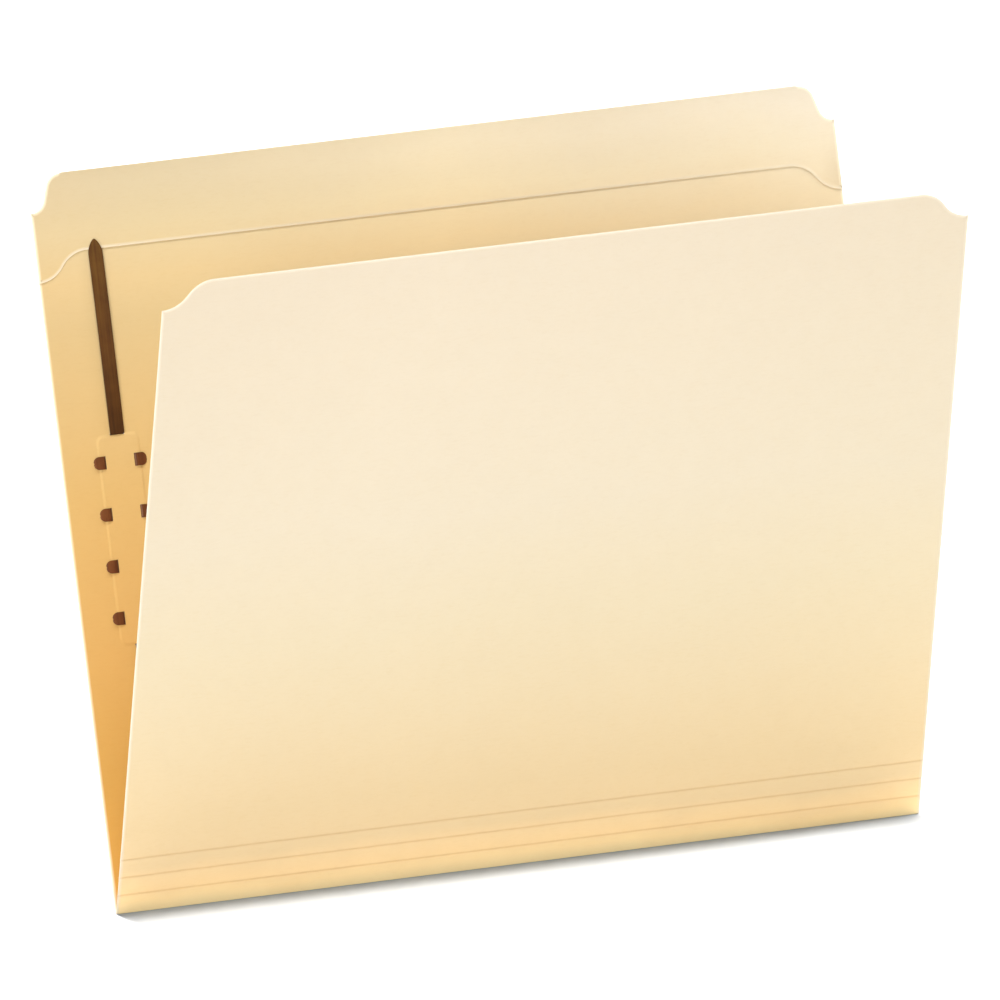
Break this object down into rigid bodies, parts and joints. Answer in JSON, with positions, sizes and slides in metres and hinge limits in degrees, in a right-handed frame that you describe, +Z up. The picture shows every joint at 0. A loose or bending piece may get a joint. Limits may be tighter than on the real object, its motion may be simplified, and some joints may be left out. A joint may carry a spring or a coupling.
{
  "type": "manila fastener folder",
  "caption": "Open manila card folder with straight-cut tabs, a doubled back tab, scored expansion lines at the fold and a flat steel prong fastener that holds punched sheets.",
  "frame": {"origin": "middle of the bottom fold, where it meets the table", "axes": "+X along the fold, with the fastener at the -X end; -Y to the front leaf, +Y to the back leaf, +Z up"},
  "size_m": [0.2984, 0.102, 0.2364],
  "materials": {
    "manila_card": "smooth uncoated card, matt",
    "fastener_steel": "brown coating, satin"
  },
  "bodies": {
    "fold_crease": {"fold_crease": "manila_card"},
    "back_leaf": {"back_leaf": "manila_card", "tab_ply": "manila_card", "fastener_base": "fastener_steel"},
    "upper_prong": {"upper_prong": "fastener_steel"},
    "lower_prong": {"lower_prong": "fastener_steel"},
    "score_strip_1": {"score_strip_1": "manila_card"},
    "score_strip_2": {"score_strip_2": "manila_card"},
    "score_strip_3": {"score_strip_3": "manila_card"},
    "front_leaf": {"front_leaf": "manila_card"}
  },
  "joints": [
    {"name": "back_fold", "type": "hinge", "parent": "fold_crease", "child": "back_leaf", "pos_m": [0, 0, 0.00028], "axis": [-1, 0, 0], "range_deg": [-21.75, 74.5]},
    {"name": "front_fold", "type": "hinge", "parent": "fold_crease", "child": "score_strip_1", "pos_m": [0, 0, 0.00028], "axis": [1, 0, 0], "range_deg": [0, 80.75]},
    {"name": "score_1_fold", "type": "hinge", "parent": "score_strip_1", "child": "score_strip_2", "pos_m": [0, -0.00102, 0.00655], "axis": [-1, 0, 0], "range_deg": [0, 24]},
    {"name": "score_2_fold", "type": "hinge", "parent": "score_strip_2", "child": "score_strip_3", "pos_m": [0, -0.00204, 0.01281], "axis": [-1, 0, 0], "range_deg": [0, 24]},
    {"name": "score_3_fold", "type": "hinge", "parent": "score_strip_3", "child": "front_leaf", "pos_m": [0, -0.00306, 0.01908], "axis": [-1, 0, 0], "range_deg": [0, 24]},
    {"name": "upper_prong_bend", "type": "hinge", "parent": "back_leaf", "child": "upper_prong", "pos_m": [-0.12773, 0.04155, 0.15181], "axis": [1, 0, 0], "range_deg": [0, 178]},
    {"name": "lower_prong_bend", "type": "hinge", "parent": "back_leaf", "child": "lower_prong", "pos_m": [-0.12773, 0.02288, 0.0845], "axis": [-1, 0, 0], "range_deg": [0, 90]}
  ],
  "couplings": [
    {"joint": "lower_prong_bend", "follows": "front_fold", "ratio": 1.1145}
  ]
}
